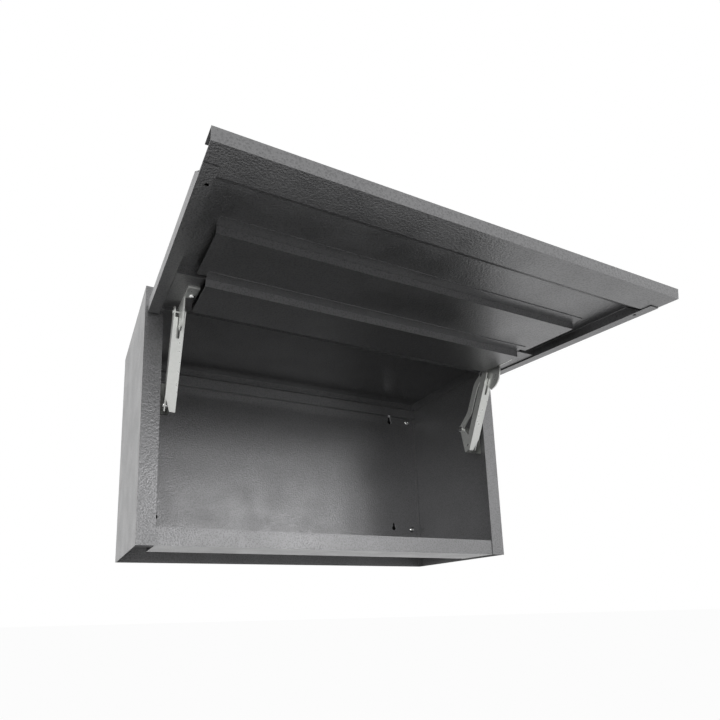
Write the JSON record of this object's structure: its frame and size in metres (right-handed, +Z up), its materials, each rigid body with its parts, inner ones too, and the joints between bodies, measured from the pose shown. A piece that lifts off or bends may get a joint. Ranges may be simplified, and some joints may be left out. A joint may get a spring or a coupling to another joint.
{
  "type": "wall cabinet",
  "caption": "Wall-hung sheet-steel workshop cabinet with a lift-up door on folding stays, an undercut finger pull and a keyhole back.",
  "frame": {"origin": "on the wall plane, in the middle of the four keyholes of the back", "axes": "+X to the viewer's right when facing the door, +Y into the wall, +Z up"},
  "size_m": [0.712, 0.7198, 0.424],
  "materials": {
    "powder_coat": "fine hammertone powder coat",
    "zinc_plate": "zinc plated",
    "screw_steel": "bright zinc plated"
  },
  "bodies": {
    "cabinet": {"back_panel": "powder_coat", "bottom_panel": "powder_coat", "bottom_rail": "powder_coat", "hanging_rail": "powder_coat", "left_arm_pin": "screw_steel", "left_hinge_base": "zinc_plate", "left_link_pin": "screw_steel", "left_side_panel": "powder_coat", "lower_left_screw": "screw_steel", "lower_right_screw": "screw_steel", "right_arm_pin": "screw_steel", "right_hinge_base": "zinc_plate", "right_link_pin": "screw_steel", "right_side_panel": "powder_coat", "top_panel": "powder_coat", "upper_left_screw": "screw_steel", "upper_right_screw": "screw_steel"},
    "door": {"door_header": "powder_coat", "door_skin": "powder_coat", "door_stiffener": "powder_coat", "left_bracket_screw": "screw_steel", "left_door_bracket": "zinc_plate", "left_door_pin": "screw_steel", "left_door_return": "powder_coat", "left_eye_pin": "screw_steel", "left_hinge_saddle": "powder_coat", "right_bracket_screw": "screw_steel", "right_door_bracket": "zinc_plate", "right_door_pin": "screw_steel", "right_door_return": "powder_coat", "right_eye_pin": "screw_steel", "right_hinge_saddle": "powder_coat"},
    "left_arm": {"left_main_arm": "zinc_plate"},
    "right_arm": {"right_main_arm": "zinc_plate"},
    "left_link": {"left_link": "zinc_plate"},
    "right_link": {"right_link": "zinc_plate"}
  },
  "joints": [
    {"name": "left_arm_swing", "type": "hinge", "parent": "cabinet", "child": "left_arm", "pos_m": [-0.31, -0.28009, -0.00008], "axis": [1, 0, 0], "range_deg": [-19, 0]},
    {"name": "door_turn", "type": "hinge", "parent": "left_arm", "child": "door", "pos_m": [0, -0.34509, 0.13237], "axis": [1, 0, 0], "range_deg": [0, 103.94]},
    {"name": "right_arm_swing", "type": "hinge", "parent": "cabinet", "child": "right_arm", "pos_m": [0.31, -0.28009, -0.00008], "axis": [1, 0, 0], "range_deg": [-19, 0]},
    {"name": "left_link_swing", "type": "hinge", "parent": "cabinet", "child": "left_link", "pos_m": [-0.30675, -0.25576, 0.04359], "axis": [1, 0, 0], "range_deg": [-18.4, 0]},
    {"name": "right_link_swing", "type": "hinge", "parent": "cabinet", "child": "right_link", "pos_m": [0.30675, -0.25576, 0.04359], "axis": [1, 0, 0], "range_deg": [-18.4, 0]}
  ],
  "couplings": [
    {"joint": "left_arm_swing", "follows": "door_turn", "ratio": -0.1822},
    {"joint": "right_arm_swing", "follows": "door_turn", "ratio": -0.1822},
    {"joint": "left_link_swing", "follows": "door_turn", "ratio": -0.1757},
    {"joint": "right_link_swing", "follows": "door_turn", "ratio": -0.1757}
  ]
}
